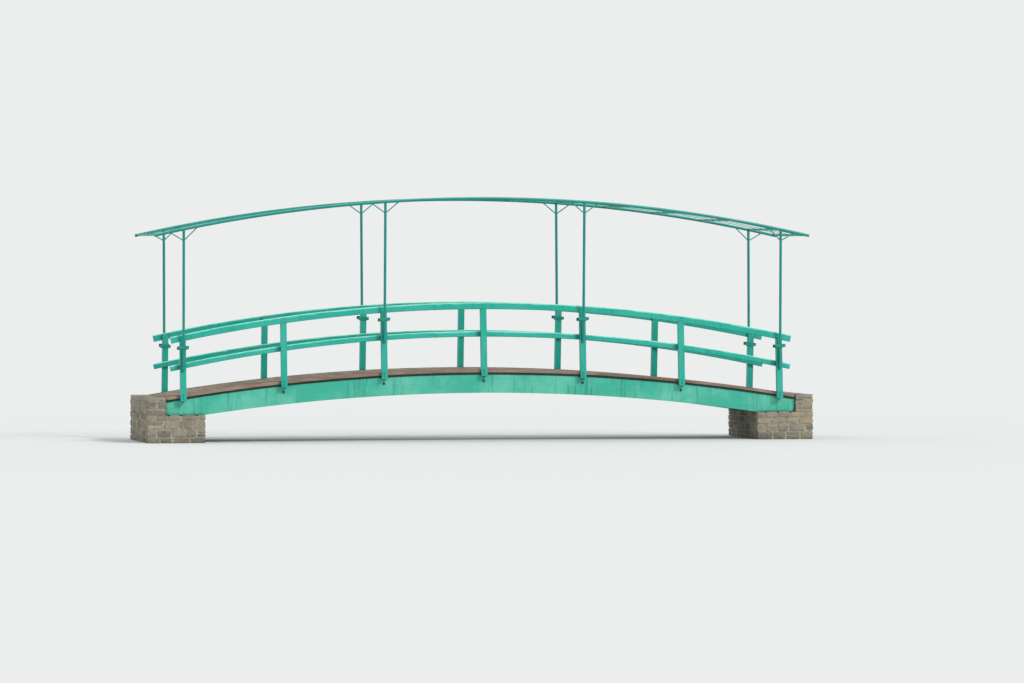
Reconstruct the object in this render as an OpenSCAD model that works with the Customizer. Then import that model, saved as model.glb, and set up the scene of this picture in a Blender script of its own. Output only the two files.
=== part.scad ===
// Moon bridge: an arched timber footbridge with battered railings, and a tube trellis carried on
// poles that are clamped to its posts. +X runs along the bridge, +Y across it and +Z up. The origin
// is at the middle of the bridge, at the level of the foot of the abutments.

/* [Layout] */
// Distance between two railing posts
post_pitch = 1600; // [1300:50:2000]
// Number of bays between the posts on one side
bays = 6; // [4:2:6]
// How far the rails run on past the end posts
rail_overrun = 200; // [100:10:300]
// Distance from the middle of the bridge to the outer face of the deck's edge
deck_edge_y = 960; // [800:10:1200]
// Lean of the posts and rails towards the walkway, in degrees
batter = 5; // [0:0.5:8]

/* [Deck and beams] */
// Height of the walking surface at the crown, over the foot of the abutments
crown_z = 1133; // [1050:1:1400]
// Radius of the walking surface
deck_r = 31000; // [28000:100:80000]
// Thickness of the deck
deck_t = 45; // [30:1:60]
// Height of the bare edge timber
edge_h = 80; // [60:1:140]
// Depth of a side beam
beam_h = 290; // [220:5:360]
// Thickness of a side beam
beam_t = 90; // [60:5:140]
// How far a side beam stands back from the face of the deck's edge
beam_inset = 20; // [0:1:40]
// Width of a cross bearer
bearer_w = 90; // [60:5:120]
// Depth of a cross bearer
bearer_h = 110; // [80:5:140]

/* [Railing] */
// Height of the top rail's upper edge at the crown, over the foot of the abutments
rail_z = 2185; // [2000:5:2400]
// Radius of the top rail's upper edge
rail_r = 23700; // [18000:100:40000]
// Depth of the top rail
top_rail_h = 103; // [80:1:160]
// Thickness of the top rail
top_rail_t = 50; // [35:1:60]
// Drop from the top of the top rail to the top of the mid rail
mid_rail_drop = 447; // [380:1:520]
// Depth of the mid rail
mid_rail_h = 85; // [60:1:120]
// Thickness of the mid rail
mid_rail_t = 45; // [30:1:50]
// Width of the bevel along the upper outer edge of a rail
rail_bevel = 9; // [5:1:24]
// Width of a post, along the bridge
post_w = 92; // [70:1:120]
// Depth of a post, across the bridge
post_d = 90; // [70:1:120]
// Length of a post's foot below the edge timber
post_lap = 20; // [10:5:120]

/* [Trellis] */
// Height of the trellis tubes' axis at the crown
trellis_z = 3830; // [3500:5:4200]
// Radius of the trellis tubes' axis
trellis_r = 24000; // [18000:10:40000]
// Diameter of the long trellis tubes
chord_d = 48; // [40:1:60]
// How far the long tubes run on past the end poles
chord_overrun = 450; // [100:10:500]
// Diameter of a pole
pole_d = 42; // [30:1:46]
// How far a pole's foot reaches below the mid rail
pole_drop = 30; // [20:1:120]
// How far the inner poles spread outwards from foot to head
pole_spread = 76; // [50:1:120]
// Side of the square cross bars
bar_s = 30; // [20:1:36]
// Width of a lath on the cross bars
lath_w = 30; // [20:1:40]
// Thickness of a lath
lath_t = 8; // [5:1:9]
// Run of a knee brace along the trellis tube
brace_x = 230; // [150:5:300]
// Drop of a knee brace down the pole
brace_z = 180; // [120:5:260]
// Diameter of a knee brace
brace_d = 18; // [12:1:20]

/* [Clamps] */
// Length of a clamp strap
strap_l = 165; // [150:1:240]
// Height of a clamp strap
strap_h = 50; // [40:1:60]
// Thickness of a clamp strap
strap_t = 10; // [6:1:12]
// Diameter of a clamp bolt
bolt_d = 12; // [8:1:16]

/* [Abutments] */
// Length of the bearing ledge under the beams
ledge_l = 620; // [500:10:800]
// Thickness of the back wall behind the beams
back_wall_t = 300; // [200:10:400]
// Distance of an abutment's side face from the middle of the bridge
abutment_y = 1000; // [960:10:1150]

/* [Hidden] */
$fn = 48;

// Curves are cut into pieces of half a degree
arc_fn = 720;
// Amount by which a cutter runs past what it cuts
past = 20;

// Places along the bridge, measured from the middle
end_post_x = bays * post_pitch / 2;
rail_end = end_post_x + rail_overrun;
deck_end = rail_end + 60;
wall_end = deck_end + back_wall_t;
ledge_x = deck_end - ledge_l;
chord_end = end_post_x + chord_overrun;
post_x = [for (n = [0:bays]) n * post_pitch - end_post_x];
joint_x = [for (n = [1:bays - 1]) post_x[n]];
pole_x = [for (n = [0:2:bays]) post_x[n]];
bar_x = concat(
    [for (n = [0:2 * bays]) n * post_pitch / 2 - end_post_x],
    [bar_s - chord_end, chord_end - bar_s]
);

// Height at x of an arc with its crown at height top
function arc_z(top, r, x) = top - r + sqrt(r * r - x * x);
function deck_z(x) = arc_z(crown_z, deck_r, x);
function rail_top(x) = arc_z(rail_z, rail_r, x);
function chord_z(x) = arc_z(trellis_z, trellis_r, x);

// Half angles of the arcs. The deck's timbers are swept until their undersides reach the back walls,
// and the beams a sixth further than their ledges.
function deck_sweep(depth) = asin(deck_end / (deck_r - depth));
beam_sweep = asin(ledge_x / (deck_r - edge_h - beam_h)) * 7 / 6;
rail_sweep = asin(rail_end / rail_r);
chord_sweep = asin(chord_end / trellis_r);

// Distances across the bridge from its middle. The inner faces of the posts lie in one leaning plane,
// which is end_notch inside the deck's edge at the foot of the end posts.
end_notch = 2;
plane_y = deck_edge_y - end_notch - (crown_z - deck_z(end_post_x)) * tan(batter);
function inner_y(z) = plane_y - (z - crown_z) * tan(batter);
function outer_y(z) = inner_y(z) + post_d / cos(batter);

// Drop from the top rail's upper edge to the heads of the posts
head_drop = 12;

// Gap of a butt joint between two lengths of timber or tube
joint_gap = 1;

// Side beams
beam_y = deck_edge_y - beam_inset;
beam_top = deck_t;
beam_low = edge_h + beam_h;
ledge_z = arc_z(crown_z - beam_low, deck_r - beam_low, ledge_x);

// Poles: foot and head of the axis, and a point of the axis at height z
flat_cut = 2;
// Clearances of a coped joint against the curved tube, and of a post against the curved deck
cope_gap = 0.1;
scribe_gap = 0.05;
function pole_foot_z(x) = rail_top(x) - mid_rail_drop - mid_rail_h - pole_drop;
function pole_foot_y(x) = outer_y(pole_foot_z(x)) + pole_d / 2 - flat_cut;
chord_y = pole_foot_y(post_pitch) + pole_spread;
function pole_y(x, z) =
    pole_foot_y(x) + (chord_y - pole_foot_y(x)) * (z - pole_foot_z(x)) / (chord_z(x) - pole_foot_z(x));

// Clamps: depth below the top of the top rail, a bolt's distance from the strap's end, and the depth
// to which the pole lies in the strap
clamp_drop = 210;
bolt_x = strap_l / 2 - 18;
strap_bite = 4;

// Laths: distances from the middle of the trellis
lath_y = [for (n = [-3:2:3]) n * chord_y / 5];

paint = "mediumaquamarine";
bare_wood = "rosybrown";
masonry = "darkgray";

// Bends a profile along an arc. The profile's X is height over the arc, its Y distance to the front.
module along_arc(top, r, sweep) {
    translate([0, 0, top - r])
        rotate([90, 0, 0])
        rotate([0, 0, 90 - sweep])
        rotate_extrude(angle = 2 * sweep, $fn = arc_fn)
        translate([r, 0])
        children();
}

// Stands children on an arc at x, square to it
module square_to_arc(top, r, x) {
    translate([0, 0, top - r])
        rotate([0, asin(x / r), 0])
        translate([0, 0, r])
        children();
}

// A rectangle from corner to corner
module span(low, high) {
    translate(low) square(high - low);
}

// A box from corner to corner
module block(low, high) {
    translate(low) cube(high - low);
}

// A round bar from point to point
module rod(from, to, d) {
    v = to - from;
    translate(from)
        rotate([0, acos(v.z / norm(v)), atan2(v.y, v.x)])
        cylinder(h = norm(v), d = d);
}

// Front and back sides are mirror images
module on_side(side) {
    if (side == "front") children();
    else mirror([0, 1, 0]) children();
}

// Left and right ends are mirror images
module at_end(end) {
    if (end == "left") mirror([1, 0, 0]) children();
    else children();
}

// Turns the front railing's upright frame into its leaning plane
module battered() {
    translate([0, -plane_y, crown_z])
        rotate([-batter, 0, 0])
        translate([0, 0, -crown_z])
        children();
}

// Keeps what lies between the abutments' back walls
module trimmed() {
    intersection() {
        children();
        block([-deck_end, -2 * deck_edge_y, 0], [deck_end, 2 * deck_edge_y, 2 * crown_z]);
    }
}

// Cuts what runs along the bridge into lengths that meet at the posts
module in_lengths() {
    difference() {
        children();
        for (x = joint_x)
            block([x - joint_gap / 2, -2 * deck_edge_y, 0], [x + joint_gap / 2, 2 * deck_edge_y, 2 * trellis_z]);
    }
}

// Masonry end support: a ledge that carries the beams, and a wall behind their ends
module abutment(end) {
    color(masonry) at_end(end) union() {
        block([ledge_x, -abutment_y, 0], [wall_end, abutment_y, ledge_z]);
        block([deck_end, -abutment_y, 0], [wall_end, abutment_y, deck_z(deck_end)]);
    }
}

// Arched beam with a level bearing cut at each end
module beam(y_low, y_high) {
    color(paint) difference() {
        trimmed()
            along_arc(crown_z, deck_r, beam_sweep)
            span([-beam_low, y_low], [-beam_top, y_high]);
        for (end = ["left", "right"]) at_end(end)
            block([ledge_x, -2 * deck_edge_y, 0], [wall_end, 2 * deck_edge_y, ledge_z]);
    }
}

module side_beam(side) {
    on_side(side) beam(beam_y - beam_t, beam_y);
}

module centre_beam() {
    beam(-beam_t / 2, beam_t / 2);
}

// Short ties between the beams, square to the arch, one pair under each pair of posts
module cross_bearers() {
    color(paint) for (x = post_x) for (side = ["front", "back"]) on_side(side)
        square_to_arc(crown_z, deck_r, x)
        block([-bearer_w / 2, beam_t - beam_y, -beam_top - bearer_h], [bearer_w / 2, -beam_t / 2, -beam_top]);
}

// Walking surface
module deck() {
    color(bare_wood) in_lengths() trimmed()
        along_arc(crown_z, deck_r, deck_sweep(deck_t))
        span([-deck_t, -beam_y], [0, beam_y]);
}

// Bare timber over the ends of the deck's boards
module deck_edge(side) {
    color(bare_wood) on_side(side) in_lengths() trimmed()
        along_arc(crown_z, deck_r, deck_sweep(edge_h))
        span([-edge_h, beam_y], [0, deck_edge_y]);
}

// Leaning post, notched over the deck's edge and standing out from the beam's face, with the top rail
// let into its outer face
module post(side, n) {
    x = post_x[n - 1];
    foot_z = deck_z(x) - edge_h - post_lap;
    notch_z = deck_z(x) - edge_h / 2;
    head_z = crown_z + (rail_top(x) - head_drop - crown_z) * cos(batter);
    color(paint) on_side(side) difference() {
        translate([x - post_w / 2, 0, 0]) rotate([90, 0, 90]) linear_extrude(post_w)
            polygon([
                [-beam_y, foot_z], [-beam_y, notch_z], [-inner_y(notch_z), notch_z],
                [-inner_y(head_z), head_z], [-outer_y(head_z), head_z], [-outer_y(foot_z), foot_z]
            ]);
        square_to_arc(crown_z, deck_r, x)
            block([-post_w, -deck_edge_y, -edge_h - scribe_gap], [post_w, 0, 0]);
        battered() square_to_arc(rail_z, rail_r, x)
            block([-post_w, -post_d - past, -top_rail_h - scribe_gap], [post_w, top_rail_t - post_d, past]);
    }
}

// Rail section: a board on edge with its upper outer arris bevelled
module rail_section(h, t) {
    arris = 6;
    polygon([
        [-h, -t + arris], [-h, -arris], [arris - h, 0], [-rail_bevel, 0],
        [0, -rail_bevel], [0, arris - t], [-arris, -t], [arris - h, -t]
    ]);
}

// Rail of jointed lengths. Its outer face stands out from the posts' inner faces by the given amount.
module rail(side, top, h, t, out) {
    color(paint) on_side(side) battered() in_lengths()
        along_arc(top, rail_r, rail_sweep) translate([0, out]) rail_section(h, t);
}

// Top rail, flush with the outer faces of the posts
module top_rail(side) {
    rail(side, rail_z, top_rail_h, top_rail_t, post_d);
}

// Mid rail, on the inner faces of the posts
module mid_rail(side) {
    rail(side, rail_z - mid_rail_drop, mid_rail_h, mid_rail_t, 0);
}

// Long tube of the trellis
module trellis_tube(side) {
    color(paint) on_side(side) in_lengths()
        along_arc(trellis_z, trellis_r, chord_sweep) translate([0, chord_y]) circle(d = chord_d);
}

// Cutter for what is coped against the front trellis tube at x
module cope(x) {
    square_to_arc(trellis_z, trellis_r, x)
        rod([-chord_d, -chord_y, 0], [chord_d, -chord_y, 0], chord_d + cope_gap);
}

// Pole's full tube from its foot to the axis of the trellis tube
module pole_tube(x) {
    rod([x, -pole_foot_y(x), pole_foot_z(x)], [x, -chord_y, chord_z(x)], pole_d);
}

// Pole on the outer face of a post, coped under the trellis tube
module pole(side, n) {
    x = pole_x[n - 1];
    color(paint) on_side(side) difference() {
        pole_tube(x);
        cope(x);
        battered() block([x - post_w, -post_d, pole_foot_z(x) - post_w], [x + post_w, 0, rail_top(x) + past]);
    }
}

// Strap clamps: a strap over the pole and one behind the post, drawn together by two bolts
module pole_clamps(side) {
    color(paint) on_side(side) for (x = pole_x) {
        z = rail_top(x) - clamp_drop;
        reach = (pole_y(x, z) - inner_y(z)) * cos(batter) + pole_d / 2 - strap_bite;
        difference() {
            battered() union() {
                block([x - strap_l / 2, -reach - strap_t, z - strap_h / 2], [x + strap_l / 2, -reach, z + strap_h / 2]);
                block([x - strap_l / 2, 0, z - strap_h / 2], [x + strap_l / 2, strap_t, z + strap_h / 2]);
                for (at = [x - bolt_x, x + bolt_x])
                    rod([at, -reach - 2 * strap_t, z], [at, 2 * strap_t, z], bolt_d);
            }
            pole_tube(x);
        }
    }
}

// Cross bars between the long tubes, square to the arch
module trellis_cross_bars() {
    color(paint) for (x = bar_x) difference() {
        square_to_arc(trellis_z, trellis_r, x)
            block([-bar_s / 2, -chord_y, -bar_s / 2], [bar_s / 2, chord_y, bar_s / 2]);
        for (side = ["front", "back"]) on_side(side) cope(x);
    }
}

// Light laths along the top of the cross bars
module trellis_laths() {
    color(paint) for (y = lath_y) in_lengths()
        along_arc(trellis_z, trellis_r, chord_sweep)
        span([bar_s / 2, y - lath_w / 2], [bar_s / 2 + lath_t, y + lath_w / 2]);
}

// Knee braces on both sides of each pole
module trellis_braces(side) {
    color(paint) on_side(side) for (x = pole_x) for (way = [-1, 1]) difference() {
        low = chord_z(x) - brace_z;
        high_x = x + way * brace_x;
        rod([x, -pole_y(x, low), low], [high_x, -chord_y, chord_z(high_x)], brace_d);
        pole_tube(x);
        cope(high_x);
    }
}

for (end = ["left", "right"])
    abutment(end);
for (side = ["front", "back"]) {
    side_beam(side);
    deck_edge(side);
    for (n = [1:bays + 1])
        post(side, n);
    top_rail(side);
    mid_rail(side);
    for (n = [1:bays / 2 + 1])
        pole(side, n);
    pole_clamps(side);
    trellis_tube(side);
    trellis_braces(side);
}
centre_beam();
cross_bearers();
deck();
trellis_cross_bars();
trellis_laths();
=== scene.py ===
"""Looks of the moon bridge: its finishes, boards, masonry, bolts and welds, on a plain pale stage."""
import math
import random

import bmesh
import bpy
from mathutils import Matrix, Vector


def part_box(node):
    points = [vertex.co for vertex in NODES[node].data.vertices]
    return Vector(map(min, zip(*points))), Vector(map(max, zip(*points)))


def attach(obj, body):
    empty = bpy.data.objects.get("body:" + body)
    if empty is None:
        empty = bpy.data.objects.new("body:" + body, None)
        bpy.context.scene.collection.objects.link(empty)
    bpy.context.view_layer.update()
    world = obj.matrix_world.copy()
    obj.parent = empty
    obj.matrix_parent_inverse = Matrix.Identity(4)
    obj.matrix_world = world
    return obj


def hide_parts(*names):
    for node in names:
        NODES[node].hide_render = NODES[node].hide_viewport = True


bl_info = {
    "name": "Moon bridge",
    "version": (1, 0, 0),
    "blender": (4, 5, 0),
    "location": "3D View > Sidebar > Moon bridge",
    "description": "Boards, masonry, fixings, finishes and stage for an arched garden footbridge",
    "category": "Object",
}

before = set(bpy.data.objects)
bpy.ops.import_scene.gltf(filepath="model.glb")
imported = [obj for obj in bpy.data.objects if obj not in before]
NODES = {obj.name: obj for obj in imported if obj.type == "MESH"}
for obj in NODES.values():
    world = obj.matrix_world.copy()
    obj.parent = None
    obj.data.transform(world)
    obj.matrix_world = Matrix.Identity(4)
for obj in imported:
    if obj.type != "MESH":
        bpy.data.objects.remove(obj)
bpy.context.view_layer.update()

# Driving dimensions of the frame, in metres and radians
POST_PITCH = 1.6
BAYS = 6
BATTER = math.radians(5)
DECK_RADIUS = 31.0
RAIL_RADIUS = 23.7
TRELLIS_RADIUS = 24.0
RAIL_CROWN = 2.185
TRELLIS_CROWN = 3.83
MID_RAIL_DROP = 0.447
MID_RAIL_DEPTH = 0.085
MID_RAIL_THICKNESS = 0.045
POST_DEPTH = 0.09
POLE_SPREAD = 0.076
POLE_DROP = 0.03
POLE_D = 0.042
CHORD_D = 0.048
CHORD_OVERRUN = 0.45
CLAMP_DROP = 0.21
STRAP_LENGTH = 0.165
STRAP_THICKNESS = 0.01
STRAP_BITE = 0.004
BOLT_INSET = 0.018
FLAT_CUT = 0.002
EDGE_DEPTH = 0.08

# Places read from the frame
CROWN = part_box("deck")[1].z
DECK_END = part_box("deck")[1].x
DECK_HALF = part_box("deck")[1].y
EDGE_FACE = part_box("deck_edge_back")[1].y
END_POST_X = POST_PITCH * BAYS / 2
POST_X = [n * POST_PITCH - END_POST_X for n in range(BAYS + 1)]
POLE_X = POST_X[::2]
SIDES = (-1, 1)
ENDS = (-1, 1)

# Boards and edge planks, in metres and degrees
BOARD_SINK = 0.0025
BOARD_TURN = 0.06
BUTT_GAP = 0.001
PLANK_ROUND = 0.0025
PLANK_STEPS = 8

# Fixings, in metres. A drop is measured down from an upper edge or from the deck
NAIL_HEIGHT = 0.0022
NAIL_SINK = 0.0006
NAIL_INSET = 0.045
NAIL_REACH = 0.28
NAIL_STRAY_X = 0.006
NAIL_STRAY_Y = 0.008
BOLT_HEIGHT = 0.013
BOLT_WASHER_HEIGHT = 0.004
BOLT_DROP = 0.177
SCREW_HEIGHT = 0.004
SCREW_SPREAD = 0.027
TOP_SCREW_DROPS = (0.028, 0.076)
MID_SCREW_DROPS = (0.022, 0.063)
POST_BOLT = (0.026, 0.009, 0.04, 0.003)
POST_BOLT_DROPS = (0.018, 0.066)
NUT_HEIGHT = 0.0075
NUT_WASHER = (0.026, 0.0018)
WELD_BEAD = 0.003
CAP_HEIGHT = 0.012

# Masonry
STONE_SHAPES = 8
SLAB_SHAPES = 4
SPLIT_CHANCE = 0.22
SLAB_JOINT_SHARE = 0.6

# Stage, camera and lamps, in metres and degrees
FLOOR_RADIUS = 400
CLEAR_RADIUS = 9.0
FADE_RADIUS = 26.0
SKY = (0.93, 0.97, 1.0, 1.0)
SKY_STRENGTH = 0.575
LAMPS = (
    ("key", (52, 0, 38), 1.95, 14, (1.0, 0.97, 0.92)),
    ("fill", (62, 0, -120), 0.46, 40, (1, 1, 1)),
)
CAMERA_YAW = 11.66
CAMERA_PITCH = -0.91
CAMERA_DISTANCE = 96.54
CAMERA_X = 0.651
CAMERA_Z = 3.09
CAMERA_LENS = 212.6


def linear(red, green, blue):
    """Colour from its screen values of 0 to 255."""
    def channel(value):
        value /= 255
        return value / 12.92 if value <= 0.04045 else ((value + 0.055) / 1.055) ** 2.4
    return channel(red), channel(green), channel(blue), 1.0


# Colours of stains and wear, of painted shade in corners and of a painted highlight on the rails' upper
# edges
BLEACHED_HIGHLIGHT = linear(166, 246, 228)
PAINT_SHADE_AND_GRIME = linear(28, 58, 48)
PAINT_CHECKS = linear(20, 62, 54)
PAINT_SPECKS = linear(62, 92, 68)
BARE_WOOD = linear(150, 142, 122)
TUBE_SHADE = linear(6, 108, 100)
TUBE_SHADE_AND_GRIME = linear(34, 58, 46)
ALGAE = linear(86, 84, 60)
WOOD_SHADE_AND_GRIME = linear(52, 46, 34)
WOOD_CHECKS = linear(50, 40, 33)
NAIL_STEEL = linear(92, 84, 78)
STONE_DARK = linear(112, 106, 96)
STONE_OCHRE = linear(170, 150, 118)
STONE_VEINS = linear(184, 176, 158)
STONE_STAIN = linear(100, 96, 78)
STONE_SHADE_AND_GRIME = linear(52, 50, 36)
STONE_DAMP = linear(62, 66, 44)
LICHEN = linear(188, 190, 160)
SAND = linear(120, 112, 96)
BACKDROP = linear(236, 238, 238)


# Places on the bridge

def drop(radius, x):
    """Fall of an arc at x below its crown."""
    return radius - math.sqrt(radius ** 2 - x ** 2)


def deck_z(x):
    """Height of the walking surface."""
    return CROWN - drop(DECK_RADIUS, x)


def rail_h(x):
    """Height of the top rail's upper edge, measured up the lean of the railing."""
    return RAIL_CROWN - drop(RAIL_RADIUS, x)


def tube_z(x):
    """Height of a trellis tube's axis."""
    return TRELLIS_CROWN - drop(TRELLIS_RADIUS, x)


# Distance from the bridge's middle to the inner faces of the posts, at the level of the crown
PLANE_Y = EDGE_FACE - FLAT_CUT - drop(DECK_RADIUS, END_POST_X) * math.tan(BATTER)


def on_railing(side, x, out, h):
    """Point out from the posts' inner faces and h up the leaning railing of one side."""
    rise = h - CROWN
    y = PLANE_Y + out * math.cos(BATTER) - rise * math.sin(BATTER)
    return Vector((x, side * y, CROWN + rise * math.cos(BATTER) + out * math.sin(BATTER)))


def outwards(side):
    """Direction square to the railing of one side, away from the walkway."""
    return Vector((0, side * math.cos(BATTER), math.sin(BATTER)))


def inner_y(z):
    """Distance of the posts' inner faces from the middle at height z."""
    return PLANE_Y - (z - CROWN) * math.tan(BATTER)


def pole_foot_z(x):
    """Height of a pole's foot."""
    return rail_h(x) - MID_RAIL_DROP - MID_RAIL_DEPTH - POLE_DROP


def pole_foot_y(x):
    """Distance of a pole's foot from the middle."""
    return inner_y(pole_foot_z(x)) + POST_DEPTH / math.cos(BATTER) + POLE_D / 2 - FLAT_CUT


CHORD_Y = pole_foot_y(POST_PITCH) + POLE_SPREAD


def pole_y(x, z):
    """Distance of a pole's axis from the middle at height z."""
    foot_y = pole_foot_y(x)
    share = (z - pole_foot_z(x)) / (tube_z(x) - pole_foot_z(x))
    return foot_y + (CHORD_Y - foot_y) * share


def on_deck(angle, y=0.0, above=0.0):
    """Matrix that stands a piece square to the walking surface, at an angle round the deck's centre."""
    return (Matrix.Translation((0, 0, CROWN - DECK_RADIUS)) @ Matrix.Rotation(angle, 4, "Y")
            @ Matrix.Translation((0, y, DECK_RADIUS + above)))


def facing(point, direction):
    """Matrix that stands a piece's Z on a point along a direction."""
    return Matrix.Translation(point) @ direction.to_track_quat("Z", "Y").to_matrix().to_4x4()


# Properties

def length(name, description, default):
    """Property for a size in metres."""
    return bpy.props.FloatProperty(name=name, description=description, default=default, min=0, unit="LENGTH")


def colour(name, description, *screen_values):
    """Property for a colour."""
    default = linear(*screen_values)
    return bpy.props.FloatVectorProperty(
        name=name, description=description, default=default, size=4, min=0, max=1, subtype="COLOR")


class BridgeSizes(bpy.types.PropertyGroup):
    """Sizes of the boards, stones and fixings."""
    board_width: length("Board width", "Width of a deck board", 0.138)
    board_gap: length("Board gap", "Gap between two deck boards", 0.007)
    board_round: length("Board edge", "Rounding of a board's edges", 0.004)
    nail_head: length("Nail head", "Diameter of a deck nail's head", 0.011)
    edge_height: length("Edge height", "Height of the planks along the deck's edges", 0.048)
    packer: length("Packer", "Thickness of the strip under an edge plank", 0.011)
    course_height: length("Course height", "Mean height of a course of stones", 0.11)
    stone_length: length("Stone length", "Mean length of a stone", 0.24)
    stone_depth: length("Stone depth", "Depth of a stone into the wall", 0.15)
    coping: length("Coping", "Thickness of the slabs on the abutments", 0.065)
    slab_length: length("Slab length", "Mean length of a coping slab", 0.46)
    mortar_joint: length("Mortar joint", "Width of a joint between stones", 0.014)
    mortar_recess: length("Mortar recess", "Depth of the pointing behind the stones' faces", 0.016)
    bolt_head: length("Bolt head", "Width across the corners of a beam bolt's head", 0.028)
    washer: length("Washer", "Diameter of a beam bolt's washer", 0.040)
    nut: length("Clamp nut", "Width across the corners of a clamp's nut", 0.024)
    screw_head: length("Screw head", "Diameter of a rail screw's head", 0.018)


class BridgeColours(bpy.types.PropertyGroup):
    """Colours of the finishes."""
    rail_paint: colour("Rail paint", "Paint of the rails and posts", 32, 168, 150)
    # The paler rail and beam colours serve for chalky, sun-worn paint and as painted sky light on upward
    # faces
    rail_faded_and_sky_lit: colour("Rail paint, faded", "Rail paint where sun has bleached it", 122, 218, 202)
    rail_deep: colour("Rail paint, deep", "Rail paint in its sheltered parts", 8, 110, 99)
    beam_paint: colour("Beam paint", "Paint of the beams", 62, 176, 152)
    beam_chalked_and_sky_lit: colour("Beam paint, chalked", "Beam paint where it has chalked", 124, 210, 186)
    beam_deep: colour("Beam paint, stained", "Beam paint under streaks of dirt", 22, 112, 98)
    metal_paint: colour("Metal paint", "Paint of the tubes and clamps", 22, 142, 130)
    board: colour("Board", "Bare deck boards", 158, 136, 118)
    board_dark: colour("Board, dark", "The darkest of the deck boards", 114, 97, 84)
    board_grey: colour("Board, silvered", "Boards where the weather has silvered them", 168, 163, 155)
    edge: colour("Edge timber", "Bare timber along the deck's edge", 166, 128, 114)
    edge_dark: colour("Edge timber, dark", "Stained timber along the deck's edge", 112, 82, 74)
    # Painted shadow: the packer's near-black colour stands for the shade under the overhanging edge planks
    packer: colour("Packer", "Damp-stained paint under the deck's edge", 14, 44, 36)
    stone: colour("Stone", "Rubble stones", 146, 140, 126)
    mortar: colour("Mortar", "Lime mortar", 172, 166, 150)
    bolt: colour("Bolt paint", "Dull paint of the beam bolts", 8, 78, 72)
    rust: colour("Rust", "Rust on bolts and chips", 104, 58, 34)
    floor: colour("Floor", "Floor of the stage", 233, 235, 235)


# Modelling helpers

def choose(*pieces):
    """Selects these pieces alone, with the first of them active."""
    if bpy.context.object and bpy.context.object.mode != "OBJECT":
        bpy.ops.object.mode_set(mode="OBJECT")
    bpy.ops.object.select_all(action="DESELECT")
    for piece in pieces:
        piece.select_set(True)
    if pieces:
        bpy.context.view_layer.objects.active = pieces[0]


def primitive(name, add, **sizes):
    """A primitive to start from, with nothing else selected."""
    choose()
    add(**sizes)
    bpy.context.object.name = name
    return bpy.context.object


def edit(piece, kind="FACE"):
    """Opens a piece in edit mode with all of it selected."""
    choose(piece)
    bpy.ops.object.mode_set(mode="EDIT")
    bpy.ops.mesh.select_mode(type=kind)
    bpy.ops.mesh.select_all(action="SELECT")


def done():
    """Leaves edit mode and returns the piece."""
    bpy.ops.object.mode_set(mode="OBJECT")
    return bpy.context.object


def cube(name, size):
    """A box of the given size, round the origin."""
    edit(primitive(name, bpy.ops.mesh.primitive_cube_add, size=1))
    bpy.ops.transform.resize(value=size)
    return done()


def rod(name, sides, diameter, height, foot=0.0):
    """A cylinder that stands at a height over the origin."""
    piece = primitive(
        name, bpy.ops.mesh.primitive_cylinder_add, vertices=sides, radius=diameter / 2, depth=height)
    piece.data.transform(Matrix.Translation((0, 0, foot + height / 2)))
    return piece


def bevel_all(piece, width, segments=2):
    """Rounds every edge of a piece."""
    edit(piece, "EDGE")
    bpy.ops.mesh.bevel(offset=width, segments=segments, affect="EDGES")
    return done()


def inset_top(piece, *steps):
    """Draws the top of a piece in and up. Each step has its thickness and its depth."""
    edit(piece)
    bpy.ops.mesh.select_all(action="DESELECT")
    mesh = bmesh.from_edit_mesh(piece.data)
    for face in mesh.faces:
        if face.normal.z > 0.9:
            face.select_set(True)
    mesh.select_flush_mode()
    for thickness, depth in steps:
        bpy.ops.mesh.inset(thickness=thickness, depth=depth)
    return done()


def round_head(name, diameter, height, sides=12):
    """A low domed head that stands on its origin."""
    head = rod(name, sides, diameter, height)
    return inset_top(head, (diameter * 0.18, height * 0.35), (diameter * 0.14, height * 0.12))


def hex_bolt(name, across, head_height, washer_d, washer_height):
    """A bolt head or nut on its washer."""
    washer = bevel_all(rod("washer", 24, washer_d, washer_height), washer_height * 0.3, 1)
    head = rod("head", 6, across, head_height, washer_height)
    return joined(name, [washer, inset_top(head, (across * 0.06, head_height * 0.14))])


def merged(piece, other):
    """Two overlapping pieces made into one solid, with whole flat faces."""
    choose(piece)
    union = piece.modifiers.new("union", "BOOLEAN")
    union.operation = "UNION"
    union.object = other
    bpy.ops.object.modifier_apply(modifier=union.name)
    discard(other)
    edit(piece)
    bpy.ops.mesh.remove_doubles(threshold=0.0001)
    bpy.ops.mesh.dissolve_limited(angle_limit=math.radians(1))
    return done()


def copy_to(master, matrix):
    """A copy of a master piece with its own mesh, moved by a matrix."""
    piece = master.copy()
    piece.data = master.data.copy()
    bpy.context.collection.objects.link(piece)
    piece.data.transform(matrix)
    return piece


def give_tone(piece, shade):
    """Marks a board or stone with a tone of its own."""
    tone = piece.data.attributes.new("tone", "FLOAT", "POINT")
    tone.data.foreach_set("value", [shade] * len(piece.data.vertices))


def joined(name, pieces):
    """One piece made of many, smooth where its faces meet at a small angle."""
    choose(*pieces)
    bpy.ops.object.join()
    whole = bpy.context.object
    whole.name = name
    whole.data.name = name
    bpy.ops.object.shade_smooth_by_angle(angle=math.radians(40))
    return whole


def discard(*masters):
    """Removes master pieces once they have been copied."""
    for master in masters:
        bpy.data.meshes.remove(master.data)


MATERIALS = {}


def finish_piece(piece, finish, slot, *replaced):
    """Gives a new piece its finish and its place on the frame."""
    piece.data.materials.clear()
    piece.data.materials.append(MATERIALS[finish])
    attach(piece, "root")
    if replaced:
        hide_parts(*replaced)


def spread(name, master, places, finish):
    """One piece of fixings: a copy of the master at each place. The master is used up."""
    finish_piece(joined(name, [copy_to(master, place) for place in places]), finish, "metal_paint")
    discard(master)


# Shader helpers

def feed(target, value):
    """Feeds a socket from another socket, or sets its value."""
    if isinstance(value, bpy.types.NodeSocket):
        target.id_data.links.new(value, target)
    else:
        target.default_value = value


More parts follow.
